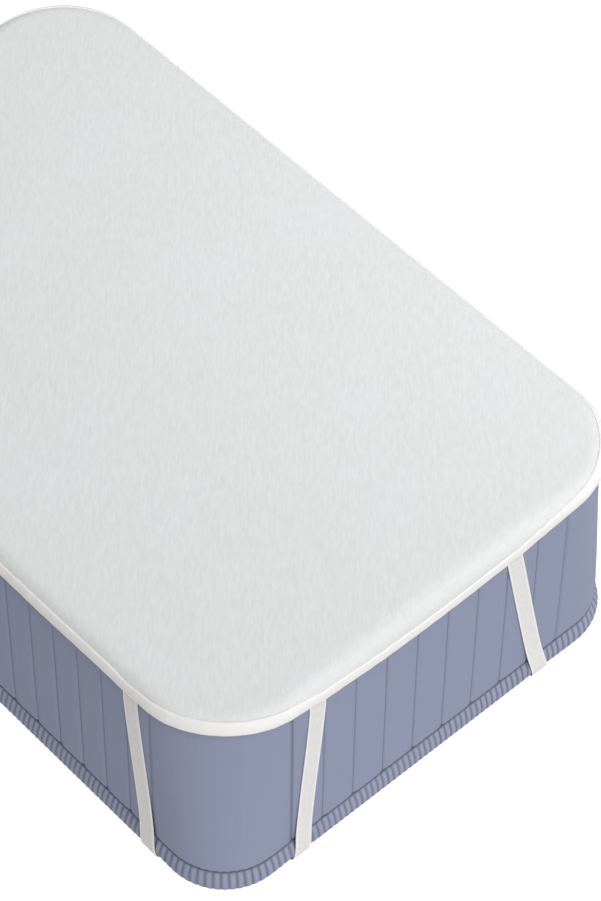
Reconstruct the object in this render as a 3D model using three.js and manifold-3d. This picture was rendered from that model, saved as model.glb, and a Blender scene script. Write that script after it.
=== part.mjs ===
// Crib mattress with its protector: a soft pad with a bound edge, held by four elastic corner straps.
// Millimetres, +Z up, origin under the middle of the mattress, width along X and length along Y.
import * as THREE from "three";
import Module from "manifold-3d";
import { mergeVertices } from "three/addons/utils/BufferGeometryUtils.js";

// Mattress
const width = 600;
const length = 940;
const height = 297;
const footRadius = 72; // corner radius at the foot of the side
const shoulderRadius = 100; // and at the top, where the padding is rounder
const edgeRadius = 17; // round edge between the side and the top
const cornerSteps = 7;
const edgeSteps = 4;

// Upright sewn channels of the side
const channelsAcross = 9; // on each short side, between its first and last seam
const channelsAlong = 19; // on each long side
const firstSeam = 104; // from the end of a side to its first seam
const seamDepth = 1.6;
const seamReach = 4; // half the width of the dip along a seam
const channelTop = 265; // the channels fade into the plain side below this height
const channelFade = 16;

// Ribbed band round the foot
const bandHeight = 36;
const bandDepth = 9;
const bandBulge = 4.6;

// Pad
const clothGap = 0.3;
const padThickness = 3;
const padStandOff = 4; // clear of the mattress side where it hangs
const rollRadius = 14; // inside of the roll over the edge
const padHang = 3; // straight hang below the roll, on the sides
const padSag = { short: 15, long: 2 }; // more hang in the middle of a side
const cornerRise = 6; // less hang round a corner
const flareDrop = 1.5; // pulled down where a strap is sewn on
const flareReach = 17;
const sideFlare = 1; // how far the edge stands off between straps
const flareWave = 47; // the stand-off comes and goes along a side, over about six times this
const flareEase = 200; // and dies out over this distance from a corner
const padInset = 90; // from the outline to the flat middle of the pad
const rimSpacing = 23; // between the points along its edge, and the least spacing kept
const rimLeast = 5;

// Binding tape folded round the pad's edge
const bindingWidth = 13;
const bindingThickness = 1;
const bindingGap = 0.9; // between the tape and the pad in its fold

// Elastic corner straps
const strapWidth = 22;
const strapThickness = 1.2;
const strapGap = 0.35;
const strapTuck = 4; // how far an end runs up behind the binding
const strapLean = 1.15; // above 1, it leans to the corner more and more towards the foot
// Distances of a strap's middle from its corner, at the top and at the foot
const longSideEnds = { top: 134, foot: 106 };
const corners = {
  front_left: { signX: -1, signY: -1, short: { top: 138, foot: 112 }, long: longSideEnds },
  front_right: { signX: 1, signY: -1, short: { top: 188, foot: 129 }, long: longSideEnds },
  back_left: { signX: -1, signY: 1, short: { top: 150, foot: 118 }, long: longSideEnds },
  back_right: { signX: 1, signY: 1, short: { top: 160, foot: 122 }, long: longSideEnds },
};

const wasm = await Module();
wasm.setup();

// The four sides, anticlockwise from +X, each with the corners at its two ends
const { front_left, front_right, back_left, back_right } = corners;
const longSide = { kind: "long", half: width / 2, reach: length / 2, channels: channelsAlong };
const shortSide = { kind: "short", half: length / 2, reach: width / 2, channels: channelsAcross };
const sides = [
  { ...longSide, angle: 0, from: front_right, to: back_right },
  { ...shortSide, angle: 90, from: back_right, to: back_left },
  { ...longSide, angle: 180, from: back_left, to: front_left },
  { ...shortSide, angle: 270, from: front_left, to: front_right },
];

const smooth = (t) => THREE.MathUtils.smoothstep(t, 0, 1);
const mix = THREE.MathUtils.lerp;

// A place on the outline is either on a side, at a distance along it, or in a corner, at an angle.
function placesRound(alongSide, steps) {
  const places = [];
  for (const side of sides) {
    for (const at of alongSide(side)) {
      places.push({ side, at, angle: side.angle });
    }
    for (let step = 0; step <= steps; step++) {
      const turn = step / steps;
      places.push({ corner: side.to, turn, angle: side.angle + 90 * turn });
    }
  }
  return places;
}

// Point of the outline at a place, for a corner radius, moved out by some distance
function outlinePoint(place, radius, out, z) {
  const angle = THREE.MathUtils.degToRad(place.angle);
  const normal = new THREE.Vector3(Math.cos(angle), Math.sin(angle), 0);
  const point = normal.clone();
  if (place.side) {
    const tangent = new THREE.Vector3(-normal.y, normal.x, 0);
    point.multiplyScalar(place.side.half + out).addScaledVector(tangent, place.at);
  } else {
    point.multiplyScalar(radius + out);
    point.x += place.corner.signX * (width / 2 - radius);
    point.y += place.corner.signY * (length / 2 - radius);
  }
  return point.setZ(z);
}

const radiusAt = (z) => mix(footRadius, shoulderRadius, smooth(z / height));

// Rings of points, each going round once, become one closed skin.
// Open stacks are closed by a fan at both ends, and looped ones join the last ring to the first.
function skin(rings, looped) {
  const count = rings[0].length;
  const points = rings.flat();
  const faces = [];
  const bands = looped ? rings.length : rings.length - 1;
  for (let i = 0; i < bands; i++) {
    const low = i * count;
    const high = ((i + 1) % rings.length) * count;
    for (let j = 0; j < count; j++) {
      const next = (j + 1) % count;
      faces.push(low + j, low + next, high + next);
      faces.push(low + j, high + next, high + j);
    }
  }
  if (!looped) {
    const ends = [rings[0], rings.at(-1)];
    ends.forEach((ring, end) => {
      const middle = new THREE.Vector3();
      ring.forEach((point) => middle.addScaledVector(point, 1 / count));
      const hub = points.push(middle) - 1;
      const first = end * (rings.length - 1) * count;
      for (let j = 0; j < count; j++) {
        const next = (j + 1) % count;
        faces.push(hub, first + (end ? j : next), first + (end ? next : j));
      }
    });
  }
  return faceted(points, faces);
}

function faceted(points, faces) {
  const geometry = new THREE.BufferGeometry();
  geometry.setFromPoints(points);
  geometry.setIndex(faces);
  return geometry;
}

// Cutting, with manifold-3d
function toSolid(geometry) {
  const bare = geometry.clone();
  bare.deleteAttribute("normal");
  bare.deleteAttribute("uv");
  const merged = mergeVertices(bare, 1e-4);
  const vertProperties = new Float32Array(merged.attributes.position.array);
  const triVerts = new Uint32Array(merged.index.array);
  return new wasm.Manifold(new wasm.Mesh({ numProp: 3, vertProperties, triVerts }));
}

function cut(geometry, cutters) {
  let solid = toSolid(geometry);
  for (const cutter of cutters) {
    solid = solid.subtract(toSolid(cutter));
  }
  const mesh = solid.getMesh();
  const result = new THREE.BufferGeometry();
  result.setAttribute("position", new THREE.BufferAttribute(mesh.vertProperties, 3));
  result.setIndex(new THREE.BufferAttribute(mesh.triVerts, 1));
  return result;
}

// Mattress: sewn channels on the side, a rebate for the band and a round top edge
const channelWidth = (side) => (2 * (side.reach - firstSeam)) / side.channels;

function channelStops(side) {
  const stops = [];
  for (let seam = 0; seam <= side.channels; seam++) {
    const at = firstSeam - side.reach + seam * channelWidth(side);
    stops.push(at - seamReach, at, at + seamReach);
    if (seam < side.channels) {
      stops.push(at + channelWidth(side) / 2);
    }
  }
  return stops;
}

// 1 on a seam, 0.25 beside it and 0 on the crown of a channel
function seamDip({ side, at }) {
  if (!side) {
    return 0;
  }
  const seam = (at + side.reach - firstSeam) / channelWidth(side);
  const fromSeam = Math.abs(seam - Math.round(seam)) * channelWidth(side);
  return 1 - 0.75 * smooth(fromSeam / seamReach) - 0.25 * smooth((fromSeam - seamReach) / seamReach);
}

function mattressGeometry() {
  const places = placesRound(channelStops, cornerSteps);
  const ring = (out, z, relief = 0) =>
    places.map((place) => {
      const crown = seamDepth * relief * (1 - seamDip(place));
      return outlinePoint(place, radiusAt(z), out + crown, z);
    });
  const rebate = -seamDepth - bandDepth - clothGap;
  const ledge = bandHeight + clothGap;
  const shoulder = height - edgeRadius;
  const rings = [
    ring(rebate, 0),
    ring(rebate, ledge),
    ring(-seamDepth, ledge, 0.4),
    ring(-seamDepth, ledge + channelFade / 3, 1),
    ring(-seamDepth, channelTop - channelFade, 1),
    ring(-seamDepth, channelTop),
    ring(-seamDepth, shoulder),
  ];
  for (let step = 1; step <= edgeSteps; step++) {
    const angle = (Math.PI / 2) * (step / edgeSteps);
    const inward = seamDepth + edgeRadius * (1 - Math.cos(angle));
    rings.push(ring(-inward, shoulder + edgeRadius * Math.sin(angle)));
  }
  return skin(rings, false);
}

// Ribbed band, here as its smooth bulging outside
function bandGeometry() {
  const ends = (side) => [-1, 0, 1].map((end) => end * (side.reach - firstSeam));
  const places = placesRound(ends, cornerSteps);
  const inner = -seamDepth - bandDepth;
  const ring = (out, z) => places.map((place) => outlinePoint(place, radiusAt(z), out, z));
  const rings = [ring(inner, 0)];
  const steps = 7;
  for (let step = 0; step <= steps; step++) {
    const rise = step / steps;
    const bulge = Math.sin(Math.PI * (0.09 + 0.82 * rise)) ** 0.8;
    const tuck = mix(bandDepth * 0.6, bandDepth * 0.2, rise);
    const out = mix(-seamDepth - tuck, bandBulge, bulge);
    rings.push(ring(out, bandHeight * rise));
  }
  rings.push(ring(inner, bandHeight));
  return skin(rings, true);
}

// Pad: how far its edge hangs, place by place, and its section over the edge
function strapCentres({ kind, reach, from, to }) {
  return [from[kind].top - reach, reach - to[kind].top];
}

function edgeHang(place) {
  if (!place.side) {
    return padHang - cornerRise * Math.sin(Math.PI * place.turn);
  }
  const span = place.side.reach - shoulderRadius;
  const middle = 1 - (place.at / span) ** 2;
  let pull = 0;
  for (const centre of strapCentres(place.side)) {
    pull += flareDrop * Math.exp(-(((place.at - centre) / flareReach) ** 2));
  }
  return padHang + padSag[place.side.kind] * middle + pull;
}

function edgeFlare(place) {
  if (!place.side) {
    return 0;
  }
  let hold = 0;
  for (const centre of strapCentres(place.side)) {
    hold += Math.exp(-(((place.at - centre) / (2 * flareReach)) ** 2));
  }
  const wander = 0.6 + 0.4 * Math.sin(place.at / flareWave + place.side.angle);
  const ease = Math.min((place.side.reach - Math.abs(place.at)) / flareEase, 1);
  return sideFlare * wander * ease * (1 - Math.min(hold, 1));
}

function rimStops(side) {
  const end = side.reach - shoulderRadius - rimLeast;
  const count = Math.round((2 * end) / rimSpacing);
  const stops = [];
  for (let i = 0; i <= count; i++) {
    stops.push(-end + (2 * end * i) / count);
  }
  for (const centre of strapCentres(side)) {
    for (const step of [-1.6, -1, -0.5, 0, 0.5, 1, 1.6]) {
      stops.push(centre + step * flareReach);
    }
  }
  stops.sort((a, b) => a - b);
  return stops.filter((at, i) => i === 0 || at - stops[i - 1] > rimLeast);
}

// Where the pad's sheet runs, at a distance along it from the top of the roll.
// depth is measured through the sheet, from its underside.
function rollPoint(place, along, depth) {
  const radius = rollRadius + depth;
  const turned = THREE.MathUtils.clamp(along / (rollRadius + padThickness / 2), 0, Math.PI / 2);
  const past = Math.max(along - (Math.PI / 2) * (rollRadius + padThickness / 2), 0);
  const centreOut = -seamDepth + padStandOff - rollRadius;
  const centreZ = height + clothGap - rollRadius;
  const flare = edgeFlare(place) * Math.min(along / sheetLength(place), 1) ** 2;
  const out = centreOut + radius * Math.sin(turned) + Math.min(along, 0) + (along > 0 ? flare : 0);
  const z = centreZ + radius * Math.cos(turned) - past;
  return outlinePoint(place, shoulderRadius, out, z);
}

const rollLength = (Math.PI / 2) * (rollRadius + padThickness / 2);
const sheetLength = (place) => rollLength + edgeHang(place);

function padGeometry() {
  const places = placesRound(rimStops, cornerSteps);
  const face = (depth) => {
    const ring = (along) => places.map((place) => rollPoint(place, along(place), depth));
    return [
      ring(() => rollRadius - padInset),
      ring(() => 0),
      ring((place) => (sheetLength(place) - bindingWidth) / 2),
      ring((place) => sheetLength(place) - bindingWidth),
      ring((place) => sheetLength(place) - bindingWidth / 2),
      ring((place) => sheetLength(place) - bindingThickness - bindingGap),
    ];
  };
  return skin([...face(0), ...face(padThickness).reverse()], false);
}

// Binding: a folded tape, its outer leaf on the face of the pad and its inner leaf behind
function bindingGeometry() {
  const places = placesRound(rimStops, cornerSteps);
  const nearIn = -bindingGap;
  const farIn = nearIn - bindingThickness;
  const nearOut = padThickness + bindingGap;
  const farOut = nearOut + bindingThickness;
  const half = bindingWidth / 2;
  const section = [
    { back: bindingWidth, depth: farIn },
    { back: half, depth: farIn },
    { back: bindingThickness, depth: farIn },
    { back: 0, depth: nearIn },
    { back: 0, depth: nearOut },
    { back: bindingThickness, depth: farOut },
    { back: half, depth: farOut + clothGap },
    { back: bindingWidth, depth: farOut - clothGap },
    { back: bindingWidth, depth: nearOut },
    { back: half, depth: nearOut },
    { back: bindingThickness, depth: nearOut },
    { back: bindingThickness, depth: nearIn },
    { back: half, depth: nearIn },
    { back: bindingWidth, depth: nearIn },
  ];
  const rings = section.map(({ back, depth }) =>
    places.map((place) => rollPoint(place, sheetLength(place) - back, depth)),
  );
  return skin(rings, true);
}

// Strap: down one side, over the band, slanting under the corner and up the other side.
// Its run on a side gives the height of its inner face and how far that is out from the outline.
function strapRun() {
  const top = height - rollRadius - padHang - flareDrop + strapTuck;
  return [
    { z: top, out: strapGap - seamDepth },
    { z: channelTop + 2, out: strapGap - seamDepth },
    { z: channelTop - channelFade - 4, out: strapGap + 0.4 },
    { z: bandHeight + 26, out: strapGap + 0.6 },
    { z: bandHeight * 0.78, out: strapGap + bandBulge - 0.4 },
    { z: bandHeight * 0.48, out: strapGap + bandBulge },
    { z: bandHeight * 0.2, out: bandBulge - 1.6 },
    { z: strapThickness + 1.8, out: -2 },
    { z: strapThickness, out: -bandDepth },
    { z: strapThickness, out: -bandDepth - strapWidth / 2 },
  ];
}

// Cross rows of half a strap, from its sewn end to the underside of the corner.
// Each row has the points of its inner face, grown by some room, and those of its outer face.
function strapHalf({ signX, signY, ...ends }, kind, room) {
  const acrossX = new THREE.Vector3(signX, 0, 0);
  const acrossY = new THREE.Vector3(0, signY, 0);
  const outward = kind === "short" ? acrossY : acrossX;
  const toMiddle = (kind === "short" ? acrossX : acrossY).clone().negate();
  const corner = new THREE.Vector3((signX * width) / 2, (signY * length) / 2, 0);
  const run = strapRun();
  return run.map(({ z, out }, i) => {
    const before = run[Math.max(i - 1, 0)];
    const after = run[Math.min(i + 1, run.length - 1)];
    const slope = new THREE.Vector2(after.out - before.out, after.z - before.z).normalize();
    const facing = outward.clone().multiplyScalar(-slope.y).setZ(slope.x);
    const along = mix(ends[kind].top, ends[kind].foot, (1 - z / run[0].z) ** strapLean);
    const reach = strapWidth / 2 + room;
    return [along - reach, along + reach].map((distance) => {
      const inner = corner.clone().addScaledVector(toMiddle, distance);
      inner.addScaledVector(outward, out).setZ(z).addScaledVector(facing, -room);
      const outer = inner.clone().addScaledVector(facing, strapThickness + 3 * room);
      outer.z = Math.max(outer.z, -room);
      return { inner, outer };
    });
  });
}

function strapGeometry(corner, room = 0) {
  const rows = [...strapHalf(corner, "short", room), ...strapHalf(corner, "long", room).reverse()];
  const rings = rows.map(([near, far]) => {
    const ring = [near.inner, far.inner, far.outer, near.outer];
    return corner.signX * corner.signY > 0 ? ring : ring.reverse();
  });
  return skin(rings, false);
}

const cottonWhite = { color: 0xe4e4e4, roughness: 0.95, metalness: 0 };
const tapeWhite = { color: 0xe9e9e5, roughness: 0.85, metalness: 0 };
const elasticWhite = { color: 0xdcdad4, roughness: 0.8, metalness: 0 };
const tickingBlue = { color: 0x959ab4, roughness: 0.75, metalness: 0 };
const bandBlue = { color: 0x80859c, roughness: 0.8, metalness: 0 };

const part = new THREE.Group();
part.name = "crib_mattress_protector";

function addPiece(name, geometry, look) {
  const mesh = new THREE.Mesh(geometry, new THREE.MeshStandardMaterial(look));
  mesh.name = name;
  part.add(mesh);
}

const strapRoom = Object.values(corners).map((corner) => strapGeometry(corner, strapGap));
addPiece("mattress", cut(mattressGeometry(), strapRoom), tickingBlue);
addPiece("mattress_ribbed_band", cut(bandGeometry(), strapRoom), bandBlue);
addPiece("protector_pad", padGeometry(), cottonWhite);
addPiece("protector_binding", bindingGeometry(), tapeWhite);
for (const [name, corner] of Object.entries(corners)) {
  addPiece(`corner_strap_${name}`, strapGeometry(corner), elasticWhite);
}

export default part;
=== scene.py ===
# Crib mattress with a brushed protector pad, its bound edge and four elastic corner straps.
import math

import bmesh
import bpy
from mathutils import Matrix, Vector, noise


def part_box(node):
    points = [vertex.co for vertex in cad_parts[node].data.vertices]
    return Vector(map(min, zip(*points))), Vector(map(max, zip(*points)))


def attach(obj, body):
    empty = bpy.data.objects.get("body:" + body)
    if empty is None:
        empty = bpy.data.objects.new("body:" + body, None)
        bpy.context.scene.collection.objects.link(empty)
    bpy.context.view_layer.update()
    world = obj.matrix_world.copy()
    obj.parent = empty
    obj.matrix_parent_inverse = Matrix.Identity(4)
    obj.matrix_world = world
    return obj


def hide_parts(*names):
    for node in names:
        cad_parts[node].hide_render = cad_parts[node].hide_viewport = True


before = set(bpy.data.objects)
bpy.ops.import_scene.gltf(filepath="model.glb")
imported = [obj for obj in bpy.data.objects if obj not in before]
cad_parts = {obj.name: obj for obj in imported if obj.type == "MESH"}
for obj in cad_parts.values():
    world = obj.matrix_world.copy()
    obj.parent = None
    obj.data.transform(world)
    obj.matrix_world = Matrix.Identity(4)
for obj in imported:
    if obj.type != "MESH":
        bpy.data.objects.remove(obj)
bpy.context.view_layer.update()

# Camera
# A long lens looks down on the front left corner, as in a studio shot of the whole mattress.
# The far left corner just runs out of the picture.
camera_data = bpy.data.cameras.new("studio_camera")
camera_data.sensor_width = 36
camera_data.lens = 142.8
camera_data.shift_y = -0.05
camera_data.clip_end = 50
camera = bpy.data.objects.new("studio_camera", camera_data)
turn, tilt, roll = math.radians(-42.79), math.radians(39.35), math.radians(0.76)
aim = Matrix.Rotation(turn, 4, "Z") @ Matrix.Rotation(tilt, 4, "X") @ Matrix.Rotation(roll, 4, "Z")
camera.matrix_world = Matrix.Translation((-1.580, -1.9685, 3.252)) @ aim
bpy.context.scene.collection.objects.link(camera)
bpy.context.scene.camera = camera


# Floor and light
# A glowing white studio table takes nearly all shadow away. The sky is even and dim, one large soft
# lamp stands high before the short front side, and a smaller one over the right end of the pad.
def shader_node(tree, kind, sockets, **settings):
    """Adds a node, with its sockets set to values or joined to the sockets of other nodes."""
    node = tree.nodes.new(kind)
    for key, value in settings.items():
        setattr(node, key, value)
    for name, value in sockets.items():
        if isinstance(value, bpy.types.NodeSocket):
            tree.links.new(value, node.inputs[name])
        else:
            node.inputs[name].default_value = value
    return node


def new_material(name, roughness, specular, sheen):
    material = bpy.data.materials.new(name)
    material.use_nodes = True
    shader = material.node_tree.nodes["Principled BSDF"]
    shader.inputs["Roughness"].default_value = roughness
    shader.inputs["Specular IOR Level"].default_value = specular
    shader.inputs["Sheen Weight"].default_value = sheen
    shader.inputs["Sheen Roughness"].default_value = 0.6
    return material, shader


def add_lamp(name, kind, energy, towards):
    """A lamp at the end of a vector from the middle of the mattress, shining back along it."""
    lamp_data = bpy.data.lights.new(name, kind)
    lamp_data.energy = energy
    lamp = bpy.data.objects.new(name, lamp_data)
    lamp.location = towards
    lamp.rotation_euler = Vector(towards).to_track_quat("Z", "Y").to_euler()
    bpy.context.scene.collection.objects.link(lamp)
    return lamp_data


bm = bmesh.new()
bmesh.ops.create_grid(bm, x_segments=1, y_segments=1, size=9)
floor_mesh = bpy.data.meshes.new("studio_floor")
bm.to_mesh(floor_mesh)
bm.free()
floor = bpy.data.objects.new("studio_floor", floor_mesh)
bpy.context.scene.collection.objects.link(floor)
floor.location.z = -0.0005
floor_paint, floor_shader = new_material("floor_paint", 0.9, 0.1, 0)
floor_shader.inputs["Base Color"].default_value = (0.15, 0.15, 0.15, 1)
floor_shader.inputs["Emission Color"].default_value = (1, 1, 1, 1)
floor_shader.inputs["Emission Strength"].default_value = 0.92
floor_mesh.materials.append(floor_paint)

sky = bpy.data.worlds.new("studio_sky")
sky.use_nodes = True
sky.node_tree.nodes["Background"].inputs["Color"].default_value = (0.99, 0.995, 1.0, 1)
sky.node_tree.nodes["Background"].inputs["Strength"].default_value = 0.2
bpy.context.scene.world = sky
add_lamp("front_lamp", "SUN", 2.95, (-0.17, -0.60, 0.78)).angle = math.radians(40)
add_lamp("pad_lamp", "AREA", 16, (1.05, -0.45, 1.7)).size = 1.0
bpy.context.scene.view_settings.view_transform = "Standard"

# Mattress
# A foam block in a close-woven grey-blue cover. Upright seams draw the side into flat channels,
# and the corners are rounder at the top, where the padding is.
half_width, half_length, mattress_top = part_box("mattress")[1]
foot_radius, shoulder_radius = 0.072, 0.100
side_end = 0.104  # from the end of a side to its first seam
channels = {0: 19, 1: 9, 2: 19, 3: 9}  # on the four sides, anticlockwise from +X
channel_top, channel_fade = 0.265, 0.016
seam_depth = 0.0016
stitch_pitch = 0.0085
edge_radius = 0.017
band_height = 0.036
cover_foot = band_height + 0.0008
tuck_depth, tuck_height = 0.003, 0.004  # drawn in where the band is sewn on
foot_rise, foot_rise_height = 0.0014, 0.012  # the sewn edge rises to each seam
cover_blue = (0.212, 0.235, 0.33)


def corner_radius(z):
    t = min(max(z / mattress_top, 0), 1)
    return foot_radius + (shoulder_radius - foot_radius) * t * t * (3 - 2 * t)


def side_reach(leg):
    return half_length if leg % 4 < 2 else half_width


def outline_point(station, radius, out, z):
    """Stations 0 to 1 run along the side at +X, 1 to 2 round its corner, and so on to 8."""
    leg = int(station) % 8
    share = station - int(station)
    side = leg // 2
    face = half_width if side % 2 == 0 else half_length
    reach = side_reach(leg)
    if leg % 2 == 0:
        point = Vector((face + out, (2 * share - 1) * (reach - side_end), 0))
    else:
        lead = side_end - radius
        arc = radius * math.pi / 2
        way = share * (2 * lead + arc)
        angle = min(max((way - lead) / arc, 0), 1) * math.pi / 2
        point = Vector((math.cos(angle), math.sin(angle), 0)) * (radius + out)
        point += Vector((face - radius, reach - radius, 0))
        point -= Vector((max(way - lead - arc, 0), max(lead - way, 0), 0))
    point.rotate(Matrix.Rotation(side * math.pi / 2, 3, "Z"))
    point.z = z
    return point


def leg_length(leg):
    if leg % 2 == 0:
        return 2 * (side_reach(leg) - side_end)
    return 2 * (side_end - shoulder_radius) + shoulder_radius * math.pi / 2


def way_round(station):
    """Metres along the outline up to a station."""
    leg = min(int(station), 7)
    return sum(leg_length(i) for i in range(leg)) + (station - leg) * leg_length(leg)


def waver(station, pitch, seed):
    """Smooth unevenness from about -1 to 1 that meets itself after one turn round the outline."""
    point = outline_point(station, shoulder_radius, 0, 0)
    return noise.noise(Vector((point.x / pitch, point.y / pitch, seed)))


def even_stations(spacing):
    """Stations all the way round, about evenly spaced."""
    stations = []
    for leg in range(8):
        steps = round(leg_length(leg) / spacing)
        stations += [leg + i / steps for i in range(steps)]
    return stations + [8.0]


def strip_round(stations, rows, place, row_metres=1.0):
    """A grid of columns and rows, moved to its place round the mattress and closed on itself.
    Its UV map holds metres along the outline and metres up the rows."""
    bm = bmesh.new()
    across, up = len(stations) - 1, len(rows) - 1
    bmesh.ops.create_grid(bm, x_segments=across, y_segments=up, size=0.5)
    uv = bm.loops.layers.uv.new("UVMap")
    # per-vertex painted light: painted shade in grooves, a painted highlight along a fold
    painted_light = bm.verts.layers.float.new("painted_light")
    column = {v: round((v.co.x + 0.5) * across) for v in bm.verts}
    level = {v: round((v.co.y + 0.5) * up) for v in bm.verts}
    ways = [way_round(station) for station in stations]
    for face in bm.faces:
        for loop in face.loops:
            loop[uv].uv = (ways[column[loop.vert]], rows[level[loop.vert]] * row_metres)
    for v in bm.verts:
        v.co, v[painted_light] = place(stations[column[v]] % 8, rows[level[v]])
    ends = [v for v in bm.verts if column[v] in (0, across)]
    bmesh.ops.remove_doubles(bm, verts=ends, dist=1e-6)
    return bm


def finish_piece(name, bm, material, node):
    bmesh.ops.recalc_face_normals(bm, faces=bm.faces)
    for face in bm.faces:
        face.smooth = True
    mesh = bpy.data.meshes.new(name)
    bm.to_mesh(mesh)
    bm.free()
    mesh.materials.append(material)
    piece = bpy.data.objects.new(name, mesh)
    bpy.context.scene.collection.objects.link(piece)
    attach(piece, "root")
    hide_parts(node)
    return piece


def close_rim(bm, rim):
    """Closes a flat ring of edges with a narrow border and one face."""
    made = bmesh.ops.contextual_create(bm, geom=rim)["faces"]
    bmesh.ops.inset_region(bm, faces=made, thickness=0.02, use_even_offset=True)


def times(colour, factor):
    return (*[min(c * factor, 1) for c in colour], 1)


def mixed(tree, factor, first, second, blend="MIX"):
    sockets = {"Factor": factor, "A": first, "B": second}
    return shader_node(tree, "ShaderNodeMix", sockets, data_type="RGBA", blend_type=blend).outputs["Result"]


def computed(tree, operation, first, second=0.0):
    sockets = {0: first, 1: second}
    return shader_node(tree, "ShaderNodeMath", sockets, operation=operation).outputs["Value"]


def wave_scale(pitch):
    """Scale at which a wave texture has one band in each pitch, in metres."""
    return 2 * math.pi / pitch / 20


def woven_cloth(name, colour, streak, streak_size, slant=0, painted_light_factor=1.0, stitches=None):
    """Close plain weave with faint streaks of some size, upright or slanting. The colour is multiplied
    by a factor where the vertex attribute is set: painted shade in the seam and rib grooves of the cover
    and band, a painted highlight along the fold of the binding. It is darkened on stitches between two
    heights."""
    material, shader = new_material(name, 0.8, 0.12, 0.03)
    tree = material.node_tree
    uv = shader_node(tree, "ShaderNodeUVMap", {}, uv_map="UVMap").outputs["UV"]
    lie = {"Vector": uv, "Rotation": (0, 0, slant), "Scale": (*streak_size, 1)}
    combed = shader_node(tree, "ShaderNodeMapping", lie, vector_type="TEXTURE").outputs["Vector"]
    thread = shader_node(tree, "ShaderNodeTexNoise", {"Vector": combed, "Scale": 1, "Detail": 4})
    # mask of the painted shade and painted highlight set on the vertices
    painted_light_mask = shader_node(tree, "ShaderNodeAttribute", {}, attribute_name="painted_light").outputs["Fac"]
    base = mixed(tree, thread.outputs["Fac"], times(colour, 1 - streak), times(colour, 1 + streak))
    base = mixed(tree, painted_light_mask, base, times(colour, painted_light_factor))
    if stitches:
        place = shader_node(tree, "ShaderNodeSeparateXYZ", {"Vector": uv})
        phase = computed(tree, "FRACT", computed(tree, "DIVIDE", place.outputs["X"], stitch_pitch))
        dash = computed(tree, "LESS_THAN", phase, 0.6)
        above = computed(tree, "GREATER_THAN", place.outputs["Y"], stitches[0])
        below = computed(tree, "LESS_THAN", place.outputs["Y"], stitches[1])
        row = computed(tree, "MULTIPLY", above, below)
        base = mixed(tree, computed(tree, "MULTIPLY", row, dash), base, times(colour, 0.35))
    warp_scale, weft_scale = (wave_scale(pitch) for pitch in (0.0011, 0.0012))
    warp = shader_node(tree, "ShaderNodeTexWave", {"Vector": uv, "Scale": warp_scale})
    weft = shader_node(tree, "ShaderNodeTexWave", {"Vector": uv, "Scale": weft_scale}, bands_direction="Y")
    weave = computed(tree, "MULTIPLY", warp.outputs["Fac"], weft.outputs["Fac"])
    bump = shader_node(tree, "ShaderNodeBump", {"Height": weave, "Strength": 0.2, "Distance": 0.0004})
    tree.links.new(base, shader.inputs["Base Color"])
    tree.links.new(bump.outputs["Normal"], shader.inputs["Normal"])
    return material


def cover_place(station, way):
    """One point of the cover, by its way in metres from the foot up the side and over the top edge."""
    leg = min(int(station), 7)
    dip = 0
    if leg % 2 == 0:
        across = (station - leg) * channels[leg // 2]
        dip = abs(2 * (across - math.floor(across)) - 1)
    side_top = mattress_top - edge_radius
    z = cover_foot + way + foot_rise * dip**5 * max(1 - way / foot_rise_height, 0)
    tuck = tuck_depth * (1 - math.sin(min(way / tuck_height, 1) * math.pi / 2)) ** 1.5
    fade = min(max((channel_top - z) / channel_fade, 0), 1)
    belly = 0.0003 * math.sin(math.pi * min(way / (side_top - cover_foot), 1))
    out = -seam_depth - tuck + (seam_depth * (1 - dip**9) + belly) * fade
    over = cover_foot + way - side_top
    if over > 0:
        angle = min(over / edge_radius, math.pi / 2)
        out -= edge_radius * (1 - math.cos(angle))
        z = side_top + edge_radius * math.sin(angle)
    out += waver(station, 0.07, z * 5) * 0.00025
    # The second value is painted shade at the bottom of each seam groove.
    return outline_point(station, corner_radius(z), out, z), dip**40 * min(way / tuck_height, 1)


cover_stations = []
for leg in range(8):
    if leg % 2 == 0:
        count = channels[leg // 2]
        steps = [0, 0.012, 0.03, 0.06, 0.11, 0.19, 0.32, 0.44, 0.56, 0.68, 0.81, 0.89, 0.94, 0.97, 0.988]
        cover_stations += [leg + (n + step) / count for n in range(count) for step in steps]
    else:
        cover_stations += [leg + n / 30 for n in range(30)]
cover_stations.append(8.0)
side_height = mattress_top - edge_radius - cover_foot
cover_rows = [0, 0.0006, 0.0013, 0.0021, 0.003, 0.004, 0.006, 0.009, 0.013, 0.017]
cover_rows += [cover_rows[9] + (side_height - cover_rows[9]) * n / 17 for n in range(1, 18)]
cover_rows += [side_height + edge_radius * math.pi / 2 * n / 5 for n in range(1, 6)]
bm = strip_round(cover_stations, cover_rows, cover_place)
wall_inset = 0.0066  # of the hidden wall behind the band
underside = 0.0016  # the straps pass below it
for inward, z in ((wall_inset, band_height + 0.0005), (0, underside)):
    rim = [e for e in bm.edges if e.is_boundary and e.verts[0].co.z < band_height + 0.01]
    for v in bmesh.ops.extrude_edge_only(bm, edges=rim)["geom"]:
        if isinstance(v, bmesh.types.BMVert):
            v.co = Vector((v.co.x * (1 - inward / half_width), v.co.y * (1 - inward / half_length), z))
close_rim(bm, [e for e in bm.edges if e.is_boundary and e.verts[0].co.z < band_height])
close_rim(bm, [e for e in bm.edges if e.is_boundary])
# The seam grooves are darkened to 0.55 as painted shade.
ticking = woven_cloth(
    "mattress_ticking", cover_blue, 0.03, (0.0024, 0.14), painted_light_factor=0.55, stitches=(0.0012, 0.0034)
)
mattress = finish_piece("mattress_cover", bm, ticking, "mattress")

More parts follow.
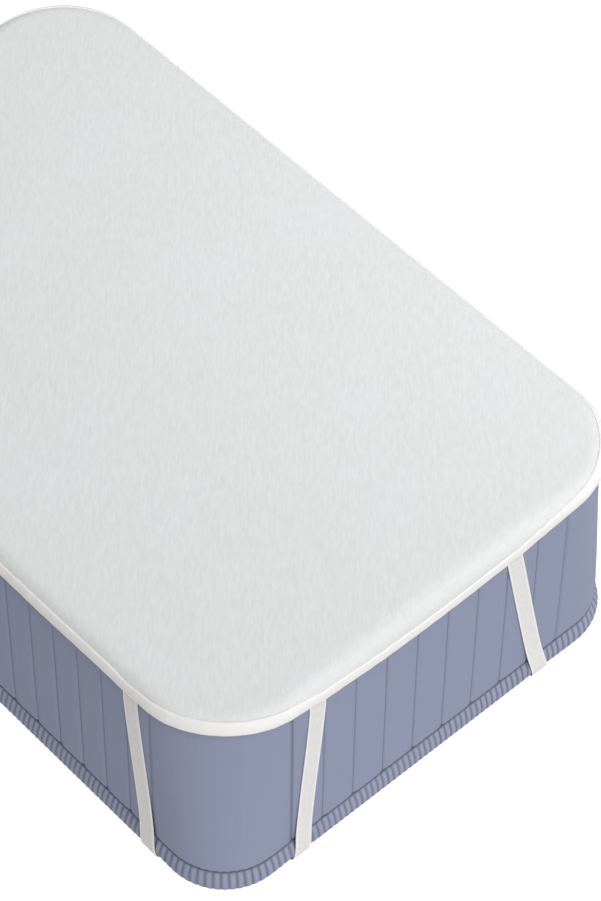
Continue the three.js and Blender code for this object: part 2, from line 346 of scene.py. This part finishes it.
# Ribbed band
# A strip of the same cover, gathered into close ribs and sewn round the foot of the side.
# It swells a little past the panel above it, and lifts where a strap passes below it.
rib_pitch = 0.0078
rib_count = round(way_round(8.0) / rib_pitch)
rib_height = 0.0013
band_bulge = 0.0046
band_back = 0.0105  # from the outline to its hidden back
strap_lift = 0.003  # of its foot over a strap
band_blue = (0.245, 0.266, 0.362)
corner_signs = {"front_right": (1, -1), "back_right": (1, 1), "back_left": (-1, 1), "front_left": (-1, -1)}
# Distances of a strap's middle from its corner, at the top and at the foot
short_ends = {"front_left": (0.138, 0.112), "front_right": (0.188, 0.129)}
short_ends |= {"back_left": (0.150, 0.118), "back_right": (0.160, 0.122)}
long_ends = (0.134, 0.106)


def strap_hold(station, end, reach):
    """1 where a strap crosses the outline with its end 0 at the top or 1 at the foot, and 0 elsewhere."""
    point = outline_point(station, foot_radius, 0, 0)
    hold = 0
    for corner, (sign_x, sign_y) in corner_signs.items():
        on_short = Vector((sign_x * (half_width - short_ends[corner][end]), sign_y * half_length, 0))
        on_long = Vector((sign_x * half_width, sign_y * (half_length - long_ends[end]), 0))
        for centre in (on_short, on_long):
            hold += math.exp(-(((point - centre).length / reach) ** 2))
    return hold


def band_place(station, way):
    """way goes from 0 at the foot, round the outside, to 1 at the top and back inside to 1.3."""
    share = min(way, 1)
    swell = math.sin(math.pi * (0.07 + 0.86 * share)) ** 0.75
    inward = 0.0085 * (1 - share) + 0.004 * share
    ribs = rib_count * way_round(station) / way_round(8.0)
    bend = 0.16 * waver(station, 0.05, 2 + share * 0.8)
    lobe = abs(math.sin(math.pi * (ribs + bend)))
    depth = rib_height * (0.9 + 0.3 * waver(station, 0.012, share * 2))
    hold = 0.4 + 0.6 * (1 - abs(2 * share - 1) ** 6)
    out = (band_bulge + inward) * swell - inward - depth * (1 - lobe**0.6) * hold
    # painted shade in the grooves between the ribs, and along the top of the band where it is sewn in under
    # the panel
    groove_shade = (1 - lobe) ** 1.3
    z = band_height * share
    if share > 0.95:
        groove_shade = max(groove_shade, (share - 0.95) / 0.05)
    if way > 1:
        out, z, groove_shade = -band_back, band_height * (1.3 - way) / 0.3, 0
    z += strap_lift * min(1.6 * strap_hold(station, 1, 0.016), 1) * (1 - z / band_height) ** 2
    return outline_point(station, corner_radius(z), out, z), groove_shade


band_rows = [n / 15 for n in range(16)] + [1.001, 1.3]
bm = strip_round(even_stations(way_round(8.0) / rib_count / 7), band_rows, band_place, band_height)
bmesh.ops.bridge_loops(bm, edges=[e for e in bm.edges if e.is_boundary])
# The rib grooves and the top join are darkened to 0.42 as painted shade.
ribbed = woven_cloth("ribbed_band", band_blue, 0.05, (0.0012, 0.03), painted_light_factor=0.42)
band = finish_piece("ribbed_band", bm, ribbed, "mattress_ribbed_band")

# Corner straps
# Flat woven elastic with firm pale edges, one band for each corner: sewn behind the binding, down
# one side, over the ribbed band, slanting under the corner and up the other side.
strap_width, strap_thickness, strap_gap = 0.022, 0.0012, 0.00035
strap_lean = 1.15
strap_top = mattress_top - 0.0145
selvedge = 0.0022
elastic_grey = (0.60, 0.585, 0.575)
selvedge_white = (0.67, 0.66, 0.655, 1)


def strap_rows(corner, is_short):
    """Cross rows of half a strap, from its sewn end to the underside of its corner."""
    sign_x, sign_y = corner_signs[corner]
    top, foot = short_ends[corner] if is_short else long_ends
    outward = Vector((0, sign_y, 0)) if is_short else Vector((sign_x, 0, 0))
    to_middle = Vector((-sign_x, 0, 0)) if is_short else Vector((0, -sign_y, 0))
    run = [
        (strap_top, strap_gap - seam_depth),
        (channel_top + 0.002, strap_gap - seam_depth),
        (channel_top - channel_fade - 0.004, strap_gap + 0.0004),
        (band_height + 0.026, strap_gap + 0.0006),
        (band_height * 0.78, strap_gap + band_bulge - 0.0004),
        (band_height * 0.48, strap_gap + band_bulge),
        (band_height * 0.2, band_bulge - 0.0016),
        (strap_thickness + 0.0018, -0.002),
        (strap_thickness, -0.009),
        (strap_thickness, -0.0195),
    ]
    rows = []
    for z, out in run:
        along = top + (foot - top) * (1 - z / strap_top) ** strap_lean
        middle = Vector((sign_x * half_width, sign_y * half_length, z)) + to_middle * along + outward * out
        rows.append([middle - to_middle * strap_width / 2, middle + to_middle * strap_width / 2])
    return rows


def rounded(rows, rounds):
    """Cuts the corners off a run of rows, again and again, and keeps its ends."""
    for _ in range(rounds):
        cut = [rows[0]]
        for here, there in zip(rows, rows[1:]):
            cut += [[a.lerp(b, share) for a, b in zip(here, there)] for share in (0.25, 0.75)]
        rows = cut + [rows[-1]]
    return rows


def elastic_weave():
    """Close ribs across the band and rubber lines along it, paler at the firm edges."""
    material, shader = new_material("woven_elastic", 0.7, 0.3, 0.1)
    tree = material.node_tree
    uv = shader_node(tree, "ShaderNodeUVMap", {}, uv_map="UVMap").outputs["UV"]
    place = shader_node(tree, "ShaderNodeTexCoord", {}).outputs["Object"]
    rib_scale, line_scale = (wave_scale(pitch) for pitch in (0.0013, 0.0018))
    ribs = shader_node(tree, "ShaderNodeTexWave", {"Vector": uv, "Scale": rib_scale}, bands_direction="Y")
    lines = shader_node(tree, "ShaderNodeTexWave", {"Vector": uv, "Scale": line_scale})
    wear = shader_node(tree, "ShaderNodeTexNoise", {"Vector": place, "Scale": 260, "Detail": 3})
    edge = shader_node(tree, "ShaderNodeAttribute", {}, attribute_name="edge")
    body = mixed(tree, wear.outputs["Fac"], times(elastic_grey, 0.9), times(elastic_grey, 1.1))
    colour = mixed(tree, edge.outputs["Fac"], body, selvedge_white)
    weave = computed(tree, "ADD", ribs.outputs["Fac"], lines.outputs["Fac"])
    bump = shader_node(tree, "ShaderNodeBump", {"Height": weave, "Strength": 0.35, "Distance": 0.0003})
    tree.links.new(colour, shader.inputs["Base Color"])
    tree.links.new(bump.outputs["Normal"], shader.inputs["Normal"])
    return material


def strap_piece(corner, material):
    rows = rounded(strap_rows(corner, True) + strap_rows(corner, False)[::-1], 3)
    rim = selvedge / strap_width
    steps = [0, 0.02, rim * 0.5, rim, rim * 1.15]
    steps += [0.2 + 0.1 * n for n in range(7)] + [1 - step for step in reversed(steps)]
    columns = len(steps) - 1
    bm = bmesh.new()
    bmesh.ops.create_grid(bm, x_segments=columns, y_segments=len(rows) - 1, size=0.5)
    uv = bm.loops.layers.uv.new("UVMap")
    pale = bm.verts.layers.float.new("edge")
    across = {v: steps[round((v.co.x + 0.5) * columns)] for v in bm.verts}
    level = {v: round((v.co.y + 0.5) * (len(rows) - 1)) for v in bm.verts}
    ways = [0.0]
    for here, there in zip(rows, rows[1:]):
        ways.append(ways[-1] + ((there[0] + there[1] - here[0] - here[1]) / 2).length)
    for face in bm.faces:
        for loop in face.loops:
            loop[uv].uv = (across[loop.vert] * strap_width, ways[level[loop.vert]])
    for v in bm.verts:
        near, far = rows[level[v]]
        v.co = near.lerp(far, across[v])
        v[pale] = 1.0 if min(across[v], 1 - across[v]) < rim * 1.01 else 0.0
    sign_x, sign_y = corner_signs[corner]
    if sign_x * sign_y < 0:  # turned inward, so that the band thickens outward
        bmesh.ops.reverse_faces(bm, faces=bm.faces)
    bm.normal_update()
    bmesh.ops.solidify(bm, geom=bm.faces[:], thickness=strap_thickness)
    piece = finish_piece(f"elastic_{corner}", bm, material, f"corner_strap_{corner}")


elastic = elastic_weave()
for corner in corner_signs:
    strap_piece(corner, elastic)

# Pad
# One sheet of white brushed cloth with a short soft nap, laid on the top and rolled over the edge.
# Its hem hangs low in the middle of the short sides, and is higher on the long sides.
pad_thickness, pad_gap = 0.003, 0.0003
stand_off = 0.004  # clear of the side where it hangs
roll_radius = 0.014
pad_hang, corner_rise = 0.003, 0.006
long_sag, short_sag = 0.002, 0.015
flare_drop, flare_reach = 0.0015, 0.017
pad_white = (0.575, 0.581, 0.584)
roll_length = math.pi / 2 * (roll_radius + pad_thickness / 2)


def sheet_length(station):
    """From the top of the roll to the cut edge."""
    leg = min(int(station), 7)
    share = station - leg
    if leg % 2:
        return roll_length + pad_hang - corner_rise * math.sin(math.pi * share)
    sag = (long_sag if leg % 4 == 0 else short_sag) * (1 - (2 * share - 1) ** 2)
    return roll_length + pad_hang + sag + flare_drop * strap_hold(station, 0, flare_reach)


def roll_point(station, along, depth, length):
    """Point of the pad's sheet, along it from the top of the roll, at a depth from its underside."""
    radius = roll_radius + depth
    turned = min(max(along / (roll_radius + pad_thickness / 2), 0), math.pi / 2)
    out = stand_off - seam_depth - roll_radius + radius * math.sin(turned) + min(along, 0)
    if along > 0:
        out += 0.0008 * (1 + waver(station, 0.14, 5)) * min(along / length, 1) ** 2
    z = mattress_top + pad_gap - roll_radius + radius * math.cos(turned) - max(along - roll_length, 0)
    return outline_point(station, shoulder_radius, out, z)


def brushed_cloth():
    """Short fibres that lie one way, with slight mottling and a soft sheen."""
    material, shader = new_material("brushed_cotton", 0.95, 0.1, 0.3)
    tree = material.node_tree
    place = shader_node(tree, "ShaderNodeTexCoord", {}).outputs["Object"]
    lie = {"Vector": place, "Rotation": (0, 0, math.radians(-42)), "Scale": (1, 4, 1)}
    combed = shader_node(tree, "ShaderNodeMapping", lie, vector_type="TEXTURE").outputs["Vector"]
    fibre = shader_node(tree, "ShaderNodeTexNoise", {"Vector": combed, "Scale": 700, "Detail": 5})
    tuft = shader_node(tree, "ShaderNodeTexNoise", {"Vector": combed, "Scale": 260, "Detail": 6})
    cloud = shader_node(tree, "ShaderNodeTexNoise", {"Vector": place, "Scale": 9, "Detail": 4})
    mottle = mixed(tree, tuft.outputs["Fac"], times(pad_white, 0.9), times(pad_white, 1.1))
    wash = mixed(tree, cloud.outputs["Fac"], (0.96, 0.985, 0.965, 1), (1.0, 0.985, 1.0, 1))
    colour = mixed(tree, 1.0, mottle, wash, "MULTIPLY")
    pile = {"Height": tuft.outputs["Fac"], "Strength": 0.4, "Distance": 0.0008}
    coarse = shader_node(tree, "ShaderNodeBump", pile).outputs["Normal"]
    nap = {"Height": fibre.outputs["Fac"], "Normal": coarse, "Strength": 0.5, "Distance": 0.0004}
    fine = shader_node(tree, "ShaderNodeBump", nap).outputs["Normal"]
    tree.links.new(colour, shader.inputs["Base Color"])
    tree.links.new(fine, shader.inputs["Normal"])
    return material


fold_room = 0.0016  # the pad's cut edge lies this far inside the fold of its binding
pad_inset = 0.076  # from the top of the roll to the innermost row that keeps the outline
centre_rows = 26


def pad_place(station, back):
    """back runs inward from the cut edge, at 0. Past 1 the rows shrink to the middle of the pad."""
    length = sheet_length(station)
    edge = length - fold_room
    point = roll_point(station, edge - min(back, 1) * (edge + pad_inset), pad_thickness, length)
    if back > 1:
        point.xy *= (centre_rows + 1 - back) / centre_rows
    flat = min(max(back * 1.6 - 0.5, 0), 1)
    soft = noise.noise(Vector((point.x * 5, point.y * 5, 9))) + 0.4 * noise.noise(point * 19)
    point.z += 0.0006 * (1 + soft) * flat
    return point, 0.0


pad_rows = [0, 0.02, 0.045, 0.075, 0.11, 0.15, 0.19, 0.24, 0.3, 0.38, 0.48, 0.6, 0.74, 0.88]
pad_rows += [1 + n for n in range(centre_rows + 1)]
bm = strip_round(even_stations(0.006), pad_rows, pad_place, roll_length + pad_inset)
bmesh.ops.remove_doubles(bm, verts=[v for v in bm.verts if v.co.xy.length < 1e-4], dist=1e-3)
bmesh.ops.recalc_face_normals(bm, faces=bm.faces)
if sum(face.normal.z for face in bm.faces) < 0:
    bmesh.ops.reverse_faces(bm, faces=bm.faces)
bmesh.ops.solidify(bm, geom=bm.faces[:], thickness=pad_thickness)
pad = finish_piece("pad_cloth", bm, brushed_cloth(), "protector_pad")

# Binding
# Off-white twill tape folded round the whole edge of the pad and sewn through, a little domed and
# puckered along its stitches, with a painted highlight along the fold.
binding_width = 0.013
binding_thickness = 0.001
binding_gap = 0.0005
binding_dome = 0.0004
binding_sink = 0.014  # slope of its upper edge into the pad
tape_white = (0.665, 0.658, 0.645)


def binding_place(station, way):
    """way counts round the fold: 0 to 1 up the lining, to 2 round the fold, to 3 over the face."""
    length = sheet_length(station)
    stitch = math.sin(way_round(station) * 2 * math.pi / 0.0042)
    pucker = 0.0002 * waver(station, 0.006, 4) + 0.0001 * stitch
    inner = -binding_gap - binding_thickness
    outer = pad_thickness + binding_gap + binding_thickness
    if way < 1:
        back, depth = binding_width * (1 - way), inner
    elif way < 2:
        angle = math.pi * (way - 1)
        back = 0.0006 * (1 - math.sin(angle))
        depth = (inner + outer) / 2 - (outer - inner) / 2 * math.cos(angle)
    else:
        share = way - 2
        back = binding_width * share
        dome = binding_dome * math.sin(math.pi * min(share * 1.1, 1)) - binding_sink * max(share - 0.9, 0)
        depth = outer + dome + pucker
    # painted highlight along the rounded fold
    pale = max(1 - abs(way - 1.95) / 0.25, 0)
    return roll_point(station, length - back, depth, length), pale


fold_rows = [0, 0.5, 0.9, 1.0, 1.15, 1.3, 1.5, 1.7, 1.85, 2.0]
face_rows = [2.08, 2.2, 2.35, 2.5, 2.65, 2.76, 2.82, 2.88, 2.95, 3.0]
bm = strip_round(even_stations(0.0035), fold_rows + face_rows, binding_place, binding_width)
bmesh.ops.recalc_face_normals(bm, faces=bm.faces)
bmesh.ops.solidify(bm, geom=bm.faces[:], thickness=binding_thickness * 0.8)
# The fold is brightened by 1.1 as a painted highlight.
tape = woven_cloth(
    "binding_tape", tape_white, 0.09, (0.0009, 0.004), slant=math.radians(40), painted_light_factor=1.1
)
binding = finish_piece("edge_tape", bm, tape, "protector_binding")
